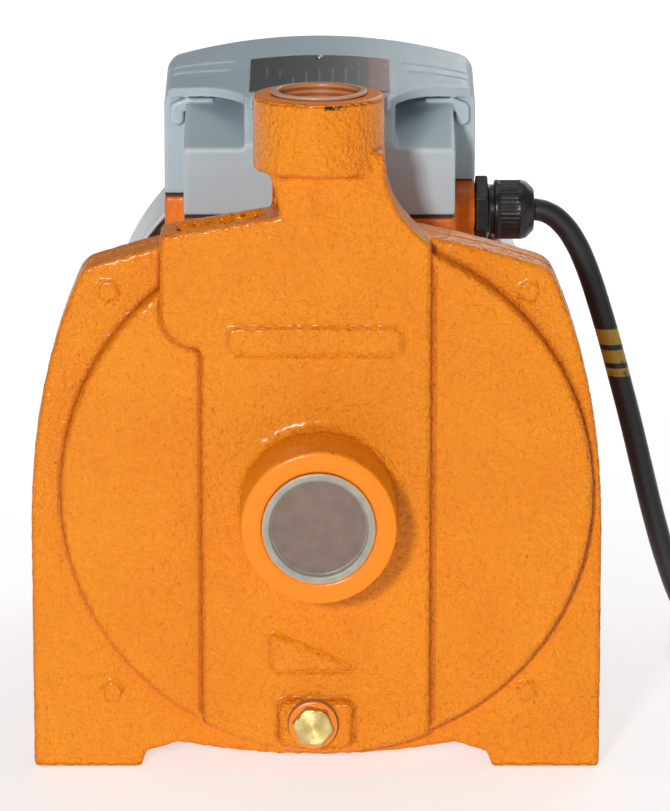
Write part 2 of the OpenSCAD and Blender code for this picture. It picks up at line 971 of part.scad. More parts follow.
module fan_clip() {
    clip_out = 10.5;
    clip = [288, 289.5];
    color("#77797b") ring(tail_r, clip_out, clip[0], clip[1]);
}

module fan_cover() {
    rounding = 8;
    slot = [26, 76];
    slot_half = 2.5;
    slot_step = 15;
    screw_hole_r = 2.2;
    outer = [
        [0, cover_back], [cover_r - rounding, cover_back],
        [cover_r - rounding / 3, cover_back - rounding / 3], [cover_r, cover_back - rounding],
        [cover_r, cover_front]
    ];
    inner_r = cover_r - cover_wall;
    inner_back = cover_back - cover_wall;
    color(grey_plastic) difference() {
        lathe(concat(outer, [
            [inner_r, cover_front], [inner_r, inner_back - rounding + lap],
            [inner_r - rounding / 3, inner_back - rounding / 3], [inner_r - rounding + lap, inner_back],
            [0, inner_back]
        ]));
        around([for (a = [0:slot_step:360 - slot_step]) a])
            spoke(slot[0], slot[1], 2 * slot_half, inner_back - lap, cover_back + lap);
        around(screw_angles) translate([inner_r - lap, at(cover_screw_depth), axis_z])
            rotate([0, 90, 0]) cylinder(r = screw_hole_r, h = cover_wall + 2 * lap, $fn = small_fn);
    }
}

module fan_cover_screws() {
    head_r = 4;
    head_t = 2.4;
    shank_r = 1.9;
    shank_in = 84;
    color(steel) around(screw_angles) translate([0, at(cover_screw_depth), axis_z]) rotate([0, 90, 0]) {
        translate([0, 0, shank_in]) cylinder(r = shank_r, h = cover_r - shank_in + lap, $fn = small_fn);
        translate([0, 0, cover_r]) cylinder(r = head_r, h = head_t, $fn = small_fn);
    }
}

// ---- terminal box ----

// Everything under the sloping, arched roof, lowered by a wall's thickness for the inside.
module roof_space(drop) {
    reach = 60;
    span = 220;
    translate([0, at(roof_ref), roof_z - drop]) rotate([roof_slope, 0, 0])
        translate([0, -reach, -roof_r]) rotate([-90, 0, 0])
            cylinder(r = roof_r, h = span, $fn = round_fn);
}

// A side outline of [depth, height] points, as wide as twice the half width.
module side_block(half, outline) {
    translate([-half, 0, 0]) rotate([90, 0, 90]) linear_extrude(2 * half)
        polygon([for (p = outline) [at(p[0]), p[1]]]);
}

module cover_space(t) {
    high = roof_z + 20;
    intersection() {
        union() {
            side_block(box_half - t, [
                [nose_back + t, seam_z], [box_back - t, seam_z], [box_back - t, high], [nose_back + t, high]
            ]);
            side_block(spine_half - t, [
                [box_front + t, seam_z], [box_back - t, seam_z], [box_back - t, high],
                [roof_ref + t, high], [roof_ref + t, roof_z - t], [box_front + t, spine_top - t]
            ]);
            side_block(nose_half - t, [
                [box_front + t, seam_z], [nose_back + 2 * t, seam_z],
                [nose_back + 2 * t, nose_top[1] - t], [box_front + t, nose_top[0] - t]
            ]);
        }
        roof_space(t);
    }
}

module terminal_cover() {
    column_r = 6.5;
    color(grey_plastic) difference() {
        union() {
            difference() {
                cover_space(0);
                translate([0, 0, -lap]) cover_space(shell_t);
            }
            intersection() {
                cover_space(0);
                at_screws(seam_z) cylinder(r = column_r, h = roof_z, $fn = small_fn);
            }
        }
        gland_bar(lobe_r + lobe_play, nose_half, box_half + lap);
        at_screws(head_z) cylinder(r = screw_well_r, h = roof_z, $fn = small_fn);
        at_screws(seam_z - lap) cylinder(r = screw_hole_r, h = head_z - seam_z + 2 * lap, $fn = small_fn);
    }
}

// Children are placed at the two screws in the box's rear corners.
module at_screws(z) {
    for (x = [-screw_x, screw_x]) translate([x, at(screw_depth), z]) children();
}

// The plan of the box, wide at the back and narrow in front, made smaller by t all round.
module box_plan(t) {
    half = [nose_half - t, box_half - t];
    polygon([
        [-half[0], at(box_front + t)], [half[0], at(box_front + t)],
        [half[0], at(nose_back + t)], [half[1], at(nose_back + t)],
        [half[1], at(box_back - t)], [-half[1], at(box_back - t)],
        [-half[1], at(nose_back + t)], [-half[0], at(nose_back + t)]
    ]);
}

module terminal_base() {
    post_r = 5.5;
    rod_way_r = 3;
    color(paint) difference() {
        union() {
            at_screws(base_floor - lap)
                cylinder(r = post_r, h = seam_z - gasket_t - base_floor + lap, $fn = small_fn);
            difference() {
                translate([0, 0, base_low]) linear_extrude(seam_z - gasket_t - base_low) box_plan(0);
                translate([0, 0, base_floor]) linear_extrude(seam_z) box_plan(box_wall);
            }
            gland_bar(lobe_r, nose_half, box_half);
        }
        drum(tube_r, box_front - lap, box_back + lap);
        around([for (a = rod_angles) if (a < 180) a])
            bar(rod_circle, axis_z, rod_way_r, box_front - lap, box_back + lap, small_fn);
        gland_bar(gland_thread_r, nose_half - box_wall - lap, box_half + lap);
        at_screws(base_floor + 2 * lap) cylinder(r = screw_hole_r, h = seam_z, $fn = small_fn);
    }
}

module terminal_gasket() {
    gasket_w = 2.6;
    color("#2d2f30") difference() {
        translate([0, 0, seam_z - gasket_t]) linear_extrude(gasket_t) box_plan(0);
        translate([0, 0, seam_z - 2 * gasket_t]) linear_extrude(3 * gasket_t) box_plan(gasket_w);
        gland_bar(lobe_r + lobe_play, nose_half, box_half + lap);
    }
}

module terminal_cover_screws() {
    head_r = 3.6;
    head_t = 2.6;
    shank = 24;
    color(steel) {
        at_screws(head_z - shank) cylinder(r = screw_shank_r, h = shank + lap, $fn = small_fn);
        at_screws(head_z) cylinder(r = head_r, h = head_t, $fn = small_fn);
    }
}

module terminal_block() {
    color("#e4e0d4") translate([block_x, at(block_depth), base_floor]) cube(block);
}

module terminal_studs() {
    stud_count = 4;
    pitch = block[0] / stud_count;
    stud_r = 2.4;
    stud_h = 5;
    color(brass) for (i = [0:stud_count - 1])
        translate([block_x + pitch * (i + 0.5), at(block_depth) + block[1] / 2, base_floor + block[2]])
            cylinder(r = stud_r, h = stud_h, $fn = small_fn);
}

// A round bar along X inside the box, where the capacitor lies.
module capacitor_bar(r, from, to) {
    translate([from, at(capacitor_depth), capacitor_z]) rotate([0, 90, 0])
        cylinder(r = r, h = to - from, $fn = round_fn);
}

module capacitor() {
    span = [-46, 22];
    color("#d9d9d4") capacitor_bar(capacitor_r, span[0], span[1]);
}

module capacitor_clip() {
    strap_t = 1.4;
    span = [-18, -6];
    color(steel) difference() {
        capacitor_bar(capacitor_r + strap_t, span[0], span[1]);
        capacitor_bar(capacitor_r, span[0] - lap, span[1] + lap);
    }
}

module earth_screw() {
    screw_r = 4;
    screw_h = 4;
    gap_x = 16;
    color(brass) translate([block_x + block[0] + gap_x, at(block_depth) + block[1] / 2, base_floor])
        cylinder(r = screw_r, h = screw_h, $fn = small_fn);
}

module gland_body() {
    spigot = [box_half - 8, gland_neck + gland_overlap];
    color(black) difference() {
        union() {
            gland_bar(gland_hex_r, box_half, gland_stop, 6);
            gland_bar(gland_thread_r, spigot[0], spigot[1]);
        }
        gland_bar(gland_seal_r, spigot[0] - lap, spigot[1] + lap);
    }
}

module gland_nut() {
    dome_r = 11.7;
    mouth_r = 4.9;
    color(black) difference() {
        union() {
            gland_bar(gland_hex_r, gland_neck, gland_shoulder, 6);
            gland_bar(dome_r, gland_shoulder - lap, gland_end);
        }
        gland_bar(gland_thread_r, gland_neck - lap, gland_neck + gland_overlap);
        gland_bar(gland_seal_r, gland_neck, gland_shoulder);
        gland_bar(mouth_r, gland_shoulder - lap, gland_end + lap);
    }
}

module gland_seal() {
    color("#2a2a2a") difference() {
        gland_bar(gland_seal_r, gland_stop, gland_shoulder);
        gland_bar(cord_r, gland_stop - lap, gland_shoulder + lap);
    }
}

// ---- lead, coil and plug ----

module power_cord() {
    color(black) sweep(lead_route, cord_r, cord_fn);
}

module cord_coil() {
    soft = 3;
    lo = coil_r - coil_half;
    hi = coil_r + coil_half;
    color(black) translate([coil_centre[0], coil_centre[1], 0]) rotate_extrude($fn = round_fn)
        polygon([
            [lo, soft], [lo + soft, 0], [hi - soft, 0], [hi, soft],
            [hi, coil_h - soft], [hi - soft, coil_h], [lo + soft, coil_h], [lo, coil_h - soft]
        ]);
}

module cord_tail() {
    color(black) sweep(tail_route, cord_r, cord_fn);
}

// A strap round the coil's turns.
module cord_tie() {
    strap_w = 12;
    strap_t = 1.2;
    tie_angle = 110;
    out = coil_half + strap_t;
    color("#141414") translate([coil_centre[0], coil_centre[1], 0]) rotate([0, 0, tie_angle])
        translate([coil_r, 0, 0]) difference() {
            translate([-out, -strap_w / 2, 0]) cube([2 * out, strap_w, coil_h + strap_t]);
            translate([-coil_half, -strap_w / 2 - lap, strap_t])
                cube([2 * coil_half, strap_w + 2 * lap, coil_h - strap_t]);
        }
}

// An upright round post at a half width from the plug's middle, along its length.
module plug_post(half, along, r) {
    post_fn = 32;
    for (side = [-1, 1]) translate([plug_x + side * (half - r), plug_y + along, 0])
        cylinder(r = r, h = plug_h, $fn = post_fn);
}

module plug_body() {
    relief_r = [5.1, 8];
    neck = [11, 26, 4];
    shoulder = [18, 40, 5];
    face = [18, plug_length - 3, 3];
    color(black) {
        translate([plug_x, plug_y, plug_z]) rotate([-90, 0, 0]) rotate_extrude($fn = small_fn)
            polygon([[0, 0], [relief_r[0], 0], [relief_r[1], neck[1]], [0, neck[1]]]);
        hull() for (p = [neck, shoulder, face]) plug_post(p[0], p[1], p[2]);
    }
}

// Three flat pins: two that lean and an upright one, which is longer.
module plug_pins() {
    pin = [6.3, 17, 1.6];
    earth_extra = 3;
    sunk = 4;
    pin_x = 7.9;
    pin_up = 3.4;
    earth_down = 8;
    pin_lean = 30;
    root_y = plug_y + plug_length - sunk;
    color("#cfd1d3") {
        for (side = [-1, 1]) translate([plug_x + side * pin_x, root_y, plug_z + pin_up])
            rotate([0, side * pin_lean, 0]) translate([-pin[0] / 2, 0, -pin[2] / 2])
                cube([pin[0], pin[1] + sunk, pin[2]]);
        translate([plug_x - pin[2] / 2, root_y, plug_z - earth_down])
            cube([pin[2], pin[1] + sunk + earth_extra, pin[0]]);
    }
}

// ---- plate ----

module rating_plate() {
    plate = [55, 44];
    plate_front = 80;
    thick = 0.5;
    color("#585c58") intersection() {
        difference() {
            roof_space(-thick);
            roof_space(0);
        }
        translate([-plate[0] / 2, at(plate_front), seam_z]) cube([plate[0], plate[1], roof_z]);
    }
}

module plate_rivets() {
    rivet_r = 1.6;
    rivet_h = 2.2;
    rivet_depths = [83, 121];
    color(steel) for (d = rivet_depths)
        translate([0, at(d), roof_z + (d - roof_ref) * tan(roof_slope)]) rotate([roof_slope, 0, 0])
            translate([0, 0, -lap]) cylinder(r = rivet_r, h = rivet_h, $fn = small_fn);
}

pump_casing();
wear_ring();
casing_seal();
motor_bracket();
casing_bolts();
drain_plug();
drain_washer();
suction_cap();
discharge_cap();
shaft();
impeller();
impeller_key();
impeller_nut();
seal_head();
seal_spring();
seal_seat();
slinger();
front_inner_race();
front_outer_race();
front_balls();
rear_inner_race();
rear_outer_race();
rear_balls();
wave_spring();
rotor_core();
stator_core();
stator_windings();
motor_housing();
rear_end_shield();
tie_rods();
fan();
fan_clip();
fan_cover();
fan_cover_screws();
terminal_base();
terminal_gasket();
terminal_cover();
terminal_cover_screws();
terminal_block();
terminal_studs();
capacitor();
capacitor_clip();
earth_screw();
gland_body();
gland_nut();
gland_seal();
power_cord();
cord_coil();
cord_tail();
cord_tie();
plug_body();
plug_pins();
rating_plate();
plate_rivets();
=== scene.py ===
"""Looks of the centrifugal pump: castings, mouldings, fittings and lead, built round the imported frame."""
import json
import math

import bpy
import numpy as np
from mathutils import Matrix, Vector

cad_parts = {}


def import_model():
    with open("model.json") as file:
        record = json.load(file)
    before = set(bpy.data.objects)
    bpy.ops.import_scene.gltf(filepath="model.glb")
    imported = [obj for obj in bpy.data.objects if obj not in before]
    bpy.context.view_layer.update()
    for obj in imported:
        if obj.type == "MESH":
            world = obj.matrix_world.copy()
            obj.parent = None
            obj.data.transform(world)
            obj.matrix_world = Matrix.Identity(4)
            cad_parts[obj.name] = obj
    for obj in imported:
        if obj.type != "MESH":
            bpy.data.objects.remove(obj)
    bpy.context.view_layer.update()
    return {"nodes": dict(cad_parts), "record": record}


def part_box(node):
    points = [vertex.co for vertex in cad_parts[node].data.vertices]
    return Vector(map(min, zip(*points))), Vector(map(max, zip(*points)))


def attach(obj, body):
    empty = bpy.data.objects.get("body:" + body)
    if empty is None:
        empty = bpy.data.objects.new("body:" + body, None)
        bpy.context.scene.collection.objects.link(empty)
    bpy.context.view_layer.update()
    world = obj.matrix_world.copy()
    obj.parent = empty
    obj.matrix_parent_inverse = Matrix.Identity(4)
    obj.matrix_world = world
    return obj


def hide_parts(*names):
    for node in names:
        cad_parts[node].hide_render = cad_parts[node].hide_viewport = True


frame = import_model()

import openvdb
from mathutils import Vector

MM = 0.001

# ---- places taken from the frame, in millimetres ----


def node_box(name):
    """A node's lowest and highest corners at rest, in millimetres."""
    low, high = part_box(name)
    return np.array(low) / MM, np.array(high) / MM


CASING_LOW, CASING_HIGH = node_box("pump_casing")
CAP_LOW, CAP_HIGH = node_box("suction_cap")
DRAIN_LOW, DRAIN_HIGH = node_box("drain_plug")
PLATE_LOW, PLATE_HIGH = node_box("rating_plate")
AXIS_Z = (CAP_LOW[2] + CAP_HIGH[2]) / 2
SUCTION_REACH = 47
FRONT_Y = CASING_LOW[1] + SUCTION_REACH
TOP_Z = CASING_HIGH[2]
DISCHARGE_Y = FRONT_Y + 4
DRAIN_X = (DRAIN_LOW[0] + DRAIN_HIGH[0]) / 2
DRAIN_Z = (DRAIN_LOW[2] + DRAIN_HIGH[2]) / 2
COLLAR_FRONT = FRONT_Y - 18.3

# ---- camera ----

CAMERA_X = 6.1
CAMERA_Z = 593.8
CAMERA_DISTANCE = 1943.2
CAMERA_PITCH = 13.034
FOCAL_PX = 5225
IMAGE = (670, 811)
SENSOR = 36


def make_camera():
    """A long lens, a little above the pump, pitched down at the middle of the picture."""
    camera = bpy.data.objects.new("camera", bpy.data.cameras.new("camera"))
    bpy.context.scene.collection.objects.link(camera)
    camera.location = (CAMERA_X * MM, (FRONT_Y - CAMERA_DISTANCE) * MM, CAMERA_Z * MM)
    camera.rotation_euler = (math.radians(90 - CAMERA_PITCH), 0, 0)
    camera.data.sensor_width = SENSOR
    camera.data.lens = FOCAL_PX * SENSOR / max(IMAGE)
    camera.data.clip_end = 20
    bpy.context.scene.camera = camera


make_camera()

# ---- lead: a fixed length that hangs from the gland, lies in a coil and ends in its plug ----

CORD_R = 4.5
CORD_Y = 62
LEAD = [
    (79, 199), (86, 199), (91.8, 197.4), (97.6, 192.6), (102.4, 185.6), (106, 178), (109, 170),
    (112.2, 160), (115.8, 148), (120.3, 131.5), (125.2, 113), (130, 93.5), (135, 73.5),
    (140.5, 54.5), (147, 37.2), (155, 22.5), (165, 11.5), (177, 5.8), (190, 4.6), (200, 4.6),
]
COIL_CENTRE = (210, 120.5)
COIL_R = 54
PACK_Z = 9.1
PACK_R = 6.4
COIL_TURNS = 3.25
PER_TURN = 36
TWIST_FROM = 0.7
HUMP = 1.9
TAIL = [
    (268.5, 129, 13.5), (268.5, 138, 13.1), (268.5, 147, 12.3), (268.5, 156, 11.4),
    (268.5, 164, 11), (268.5, 172, 11),
]


def coil_point(turn):
    """The turns lie in a square of four, which twists by a quarter just before each new turn."""
    whole = math.floor(turn)
    share = max(0, (turn - whole - TWIST_FROM) / (1 - TWIST_FROM))
    twist = share * share * (3 - 2 * share)
    pack = -math.pi / 4 - math.pi / 2 * (whole + twist)
    angle = 2 * math.pi * turn - math.pi / 2
    radius = COIL_R + PACK_R * math.cos(pack)
    height = PACK_Z + HUMP * math.sin(math.pi * twist) + PACK_R * math.sin(pack)
    return COIL_CENTRE[0] + radius * math.cos(angle), COIL_CENTRE[1] + radius * math.sin(angle), height


def cord_points():
    """The whole lead, from inside the gland to inside the plug's strain relief."""
    coil = [coil_point(i / PER_TURN) for i in range(round(COIL_TURNS * PER_TURN) + 1)]
    return [(x, CORD_Y, z) for x, z in LEAD] + coil + TAIL


def make_cord():
    """One round sheath along one smooth curve."""
    curve = bpy.data.curves.new("mains_lead", "CURVE")
    curve.dimensions = "3D"
    curve.bevel_depth = CORD_R * MM
    curve.bevel_resolution = 6
    curve.resolution_u = 6
    curve.use_fill_caps = True
    points = cord_points()
    spline = curve.splines.new("BEZIER")
    spline.bezier_points.add(len(points) - 1)
    for bezier, point in zip(spline.bezier_points, points):
        bezier.co = Vector(point) * MM
        bezier.handle_left_type = bezier.handle_right_type = "AUTO"
    cord = bpy.data.objects.new("mains_lead", curve)
    bpy.context.scene.collection.objects.link(cord)
    return cord


cord = make_cord()

# ---- shader helpers ----


def node(tree, kind, sockets, **settings):
    """Adds a node. A socket takes a number, a colour or another node's output. Returns the outputs."""
    made = tree.nodes.new("ShaderNode" + kind)
    for name, value in settings.items():
        setattr(made, name, value)
    for name, value in sockets.items():
        if isinstance(value, bpy.types.NodeSocket):
            tree.links.new(value, made.inputs[name])
        else:
            made.inputs[name].default_value = value
    return made.outputs


def new_material(name, **surface):
    """A material, its tree and its shader, with the constant values set on the shader's own sockets."""
    material = bpy.data.materials.new(name)
    material.use_nodes = True
    shader = material.node_tree.nodes["Principled BSDF"]
    for socket, value in surface.items():
        shader.inputs[socket.replace("_", " ").title().replace("Ior", "IOR")].default_value = value
    return material, material.node_tree, shader


def position(tree):
    return node(tree, "TexCoord", {})["Object"]


def noise(tree, scale, detail=2, where=None):
    """Noise with a number of lumps per metre."""
    return node(tree, "TexNoise", {"Vector": where or position(tree), "Scale": scale, "Detail": detail})[0]


def shift(tree, value, low, high, to_low=0.0, to_high=1.0):
    """A value carried from one range to another, and held at its ends."""
    sockets = {"Value": value, "From Min": low, "From Max": high, "To Min": to_low, "To Max": to_high}
    return node(tree, "MapRange", sockets)[0]


def math_node(tree, operation, a, b=0.0):
    return node(tree, "Math", {0: a, 1: b}, operation=operation)[0]


def blend(tree, share, a, b):
    """Colour a turning into colour b."""
    return node(tree, "Mix", {0: share, 6: a, 7: b}, data_type="RGBA")[2]


def bump(tree, height, distance, strength=1.0):
    return node(tree, "Bump", {"Height": height, "Distance": distance * MM, "Strength": strength})[0]


def own(tree, name):
    """A number that the mesh carries at each of its points."""
    return node(tree, "Attribute", {}, attribute_name=name)["Fac"]


def axis_of(tree, axis):
    """One coordinate of the surface, in metres."""
    return node(tree, "SeparateXYZ", {0: position(tree)})[axis]


def between(tree, value, low, high, soft):
    """1 between two values in millimetres, and 0 outside."""
    rise = shift(tree, value, (low - soft) * MM, low * MM)
    fall = shift(tree, value, high * MM, (high + soft) * MM, 1.0, 0.0)
    return math_node(tree, "MULTIPLY", rise, fall)


def colour(red, green, blue):
    """An sRGB colour as the shader's linear one."""
    shares = [c / 255 for c in (red, green, blue)]
    return tuple(((c + 0.055) / 1.055) ** 2.4 if c > 0.04 else c / 12.92 for c in shares) + (1.0,)


def uneven(tree, scale, detail, low, high):
    """A value that wanders between two, for gloss."""
    return shift(tree, noise(tree, scale, detail), 0.3, 0.7, low, high)


def dress(tree, shader, body, roughness, normal):
    """Gives the shader its colour, roughness and normal."""
    for socket, value in (("Base Color", body), ("Roughness", roughness), ("Normal", normal)):
        tree.links.new(value, shader.inputs[socket])


# ---- materials ----


def paint_colour(tree, light, dark, crease_shade):
    """Orange paint: slow changes of depth, with painted shade that darkens concave corners and convex edges.
    """
    slow = shift(tree, noise(tree, 28, 3), 0.35, 0.65)
    body = blend(tree, slow, light, dark)
    # painted shade: concave corners darkened fully towards the shade colour
    corner_shade = shift(tree, own(tree, "edge"), -0.08, -0.4)
    # painted shade: convex edges darkened part way towards the shade colour
    edge_shade = shift(tree, own(tree, "edge"), 0.12, 0.45, 0.0, 0.4)
    return blend(tree, edge_shade, blend(tree, corner_shade, body, crease_shade), crease_shade)


def cast_height(tree):
    """The skin of a sand casting under thick paint: lumps of one to three millimetres."""
    cells = {"Vector": position(tree), "Scale": 480, "Smoothness": 0.9}
    grains = node(tree, "TexVoronoi", cells, feature="SMOOTH_F1")[0]
    lumps = math_node(tree, "MULTIPLY_ADD", noise(tree, 620, 3), 1.5)
    return math_node(tree, "SUBTRACT", math_node(tree, "ADD", lumps, noise(tree, 1500, 2)), grains)


def chipped(tree):
    """A narrow line under the rim of the discharge boss where the paint has gone and the dark iron shows."""
    x, y, z = node(tree, "SeparateXYZ", {0: position(tree)})
    across, down = between(tree, x, 2, 9, 2), between(tree, z, TOP_Z - 2.2, TOP_Z - 1.2, 0.6)
    line = math_node(tree, "MULTIPLY", across, down)
    front = shift(tree, y, (DISCHARGE_Y - 18) * MM, (DISCHARGE_Y - 17.9) * MM, 1.0, 0.0)
    spots = shift(tree, noise(tree, 500, 3), 0.44, 0.5)
    return math_node(tree, "MULTIPLY", math_node(tree, "MULTIPLY", line, front), spots)


def cast_paint():
    surface = {"coat_weight": 0.32, "coat_roughness": 0.2, "specular_ior_level": 0.12}
    material, tree, shader = new_material("cast_paint", **surface)
    body = paint_colour(tree, colour(255, 151, 20), colour(251, 143, 16), colour(194, 84, 8))
    body = blend(tree, own(tree, "cast"), colour(241, 132, 14), body)
    # scattered small darker brown specks in the paint
    dark_specks = shift(tree, noise(tree, 260, 1), 0.8, 0.83, 0.0, 0.5)
    body = blend(tree, dark_specks, body, colour(150, 76, 20))
    body = blend(tree, chipped(tree), body, colour(38, 36, 38))
    rough = math_node(tree, "MULTIPLY", cast_height(tree), own(tree, "cast"))
    dress(tree, shader, body, uneven(tree, 90, 3, 0.34, 0.46), bump(tree, rough, 1.2))
    return material


def motor_paint():
    surface = {"coat_weight": 0.15, "coat_roughness": 0.2, "specular_ior_level": 0.35}
    material, tree, shader = new_material("motor_paint", **surface)
    body = paint_colour(tree, colour(238, 128, 18), colour(226, 114, 14), colour(176, 74, 8))
    dress(tree, shader, body, uneven(tree, 120, 3, 0.36, 0.5), bump(tree, noise(tree, 700, 3), 0.16))
    return material


def moulded(name, light, dark, grain, depth, low, high, **surface):
    """Moulded plastic or stoved paint: two close tones, a fine spark-eroded grain, uneven gloss and a
    painted highlight that lightens convex edges.
    """
    material, tree, shader = new_material(name, **surface)
    body = blend(tree, shift(tree, noise(tree, 22, 4), 0.35, 0.65), light, dark)
    # painted highlight: convex edges lightened part way towards near-white
    edge = shift(tree, own(tree, "edge"), 0.1, 0.5, 0.0, 0.25)
    body = blend(tree, edge, body, colour(225, 228, 228))
    dress(tree, shader, body, uneven(tree, 140, 4, low, high), bump(tree, noise(tree, grain, 3), depth))
    return material


def grey_plastic():
    return moulded("grey_plastic", colour(173, 189, 196), colour(166, 182, 189), 1500, 0.07, 0.34, 0.48)


def cover_paint():
    light, dark = colour(205, 210, 211), colour(196, 202, 204)
    return moulded("cover_paint", light, dark, 900, 0.05, 0.3, 0.42, coat_weight=0.2)


def black_plastic():
    material, tree, shader = new_material("black_plastic", specular_ior_level=0.4)
    body = blend(tree, noise(tree, 60, 3), colour(20, 20, 21), colour(30, 30, 32))
    dress(tree, shader, body, uneven(tree, 300, 4, 0.26, 0.42), bump(tree, noise(tree, 1800, 3), 0.04))
    return material


def cord_rubber():
    """Black sheath with a dusty sheen, and three plain yellow bands where the maker's print would be."""
    material, tree, shader = new_material("cord_rubber", sheen_weight=0.25, sheen_roughness=0.4)
    body = blend(tree, noise(tree, 90, 4), colour(19, 19, 20), colour(32, 32, 34))
    up = axis_of(tree, 2)
    bands = math_node(tree, "ADD", between(tree, up, 137, 142, 0.3), between(tree, up, 144.5, 150.5, 0.3))
    bands = math_node(tree, "ADD", bands, between(tree, up, 131.5, 134.5, 0.3))
    worn = math_node(tree, "MULTIPLY", bands, shift(tree, noise(tree, 350, 3), 0.3, 0.42, 0.35, 1.0))
    body = blend(tree, worn, body, colour(176, 142, 36))
    dress(tree, shader, body, uneven(tree, 260, 3, 0.4, 0.56), bump(tree, noise(tree, 1100, 3), 0.05))
    return material


def metal(name, light, dark, low, high, scratch=1400):
    """Bare metal with cloudy gloss and fine marks."""
    material, tree, shader = new_material(name, metallic=1.0)
    body = blend(tree, shift(tree, noise(tree, 160, 4), 0.35, 0.65), light, dark)
    dress(tree, shader, body, uneven(tree, 420, 4, low, high), bump(tree, noise(tree, scratch, 4), 0.03))
    return material


def zinc_steel():
    return metal("zinc_steel", colour(188, 190, 188), colour(160, 163, 166), 0.3, 0.5)


def bright_steel():
    return metal("bright_steel", colour(214, 215, 216), colour(190, 192, 194), 0.16, 0.3)


def bearing_steel():
    return metal("bearing_steel", colour(206, 208, 212), colour(186, 188, 193), 0.1, 0.2)


def brass():
    """Turned brass: fine rings round the plug's axis, light tarnish, and paint on the plug's collar."""
    material, tree, shader = new_material("brass")
    tarnish = shift(tree, noise(tree, 240, 4), 0.35, 0.65)
    body = blend(tree, tarnish, colour(222, 202, 140), colour(194, 168, 100))
    y, z = node(tree, "SeparateXYZ", {0: position(tree)})[1:]
    collar = between(tree, y, COLLAR_FRONT, COLLAR_FRONT + 2.6, 0.1)
    overspray = math_node(tree, "MULTIPLY", collar, shift(tree, z, 0.045, 0.046, 1.0, 0.0))
    body = blend(tree, overspray, body, colour(238, 130, 18))
    tree.links.new(shift(tree, overspray, 0.0, 1.0, 1.0, 0.0), shader.inputs["Metallic"])
    centre = (-DRAIN_X * MM, 0, -DRAIN_Z * MM)
    local = node(tree, "Mapping", {"Vector": position(tree), "Location": centre})[0]
    rings = node(tree, "TexWave", {"Vector": local, "Scale": 420}, wave_type="RINGS", rings_direction="Y")[1]
    dress(tree, shader, body, uneven(tree, 500, 3, 0.24, 0.4), bump(tree, rings, 0.06))
    return material


def fibre():
    material, tree, shader = new_material("fibre", specular_ior_level=0.3)
    strands = noise(tree, 900, 5)
    body = blend(tree, strands, colour(122, 72, 46), colour(158, 102, 70))
    dress(tree, shader, body, shift(tree, strands, 0.3, 0.7, 0.6, 0.8), bump(tree, strands, 0.08))
    return material


def rubber():
    material, tree, shader = new_material("rubber", sheen_weight=0.2)
    body = blend(tree, noise(tree, 200, 4), colour(24, 24, 25), colour(44, 44, 45))
    dress(tree, shader, body, uneven(tree, 400, 3, 0.55, 0.72), bump(tree, noise(tree, 1300, 3), 0.05))
    return material


def ceramic():
    material, tree, shader = new_material("ceramic", coat_weight=0.3)
    body = blend(tree, noise(tree, 150, 4), colour(226, 222, 210), colour(212, 206, 192))
    dress(tree, shader, body, uneven(tree, 700, 3, 0.14, 0.24), bump(tree, noise(tree, 2000, 2), 0.02))
    return material


def translucent_cap():
    """Milky polythene: a paler rim, and a clouded disc, only a sheet thick, coloured dark brown as painted
    shade of the bore behind it; the wall shows the threads behind in painted light and shade.
    """
    material, tree, shader = new_material("translucent_cap", specular_ior_level=0.45)
    centre = (0, 0, AXIS_Z * MM)
    x, y, z = node(tree, "SeparateXYZ", {0: position(tree)})
    flat = node(tree, "CombineXYZ", {0: x, 1: 0.0, 2: z})[0]
    away = node(tree, "VectorMath", {0: flat, 1: centre}, operation="DISTANCE")["Value"]
    low_half = shift(tree, z, 0.2, 0.201, 1.0, 0.0)
    disc = math_node(tree, "MULTIPLY", shift(tree, away, 17.6 * MM, 18.4 * MM, 1.0, 0.0), low_half)
    clouds = shift(tree, noise(tree, 190, 5), 0.4, 0.62)
    # painted shade: the dark bore behind the milky disc is painted into its colour
    film_over_shaded_bore = blend(tree, clouds, colour(116, 96, 84), colour(124, 104, 92))
    rim = blend(tree, clouds, colour(148, 145, 132), colour(160, 157, 145))
    rim = blend(tree, shift(tree, away, 20.2 * MM, 21.4 * MM, 0.0, 0.6), rim, colour(222, 158, 118))
    outer = node(tree, "CombineXYZ", {0: x, 1: y, 2: 0.0})[0]
    middle = (0, DISCHARGE_Y * MM, 0)
    off_axis = node(tree, "VectorMath", {0: outer, 1: middle}, operation="DISTANCE")["Value"]
    inner = shift(tree, off_axis, 15.6 * MM, 16 * MM, 1.0, 0.0)
    wall = math_node(tree, "MULTIPLY", inner, shift(tree, low_half, 0.0, 1.0, 1.0, 0.0))
    # painted light and shade: the threads behind the wall are drawn as lighter and darker orange bands
    threads = node(tree, "TexWave", {"Vector": position(tree), "Scale": 136}, bands_direction="Z")[1]
    through = blend(tree, threads, colour(150, 84, 40), colour(216, 140, 84))
    body = blend(tree, disc, blend(tree, wall, rim, through), film_over_shaded_bore)
    dress(tree, shader, body, uneven(tree, 330, 4, 0.26, 0.44), bump(tree, noise(tree, 240, 4), 0.1))
    return material


def lamination():
    """Punched steel sheets, half a millimetre each, seen on edge."""
    material, tree, shader = new_material("lamination", metallic=0.85)
    sheets = node(tree, "TexWave", {"Vector": position(tree), "Scale": 320}, bands_direction="Y")[1]
    body = blend(tree, sheets, colour(96, 98, 102), colour(150, 152, 156))
    dress(tree, shader, body, uneven(tree, 300, 3, 0.4, 0.58), bump(tree, sheets, 0.08))
    return material


def copper_wire():
    """Enamelled wire, laid side by side."""
    material, tree, shader = new_material("copper_wire", metallic=0.9, coat_weight=0.5)
    waves = {"Vector": position(tree), "Scale": 260, "Distortion": 2.5}
    strands = node(tree, "TexWave", waves, wave_type="RINGS")[1]
    body = blend(tree, strands, colour(120, 58, 30), colour(196, 112, 66))
    dress(tree, shader, body, shift(tree, strands, 0.0, 1.0, 0.5, 0.28), bump(tree, strands, 0.25))
    return material


def cream_plastic():
    return moulded("cream_plastic", colour(222, 214, 192), colour(212, 203, 180), 1300, 0.05, 0.35, 0.5)


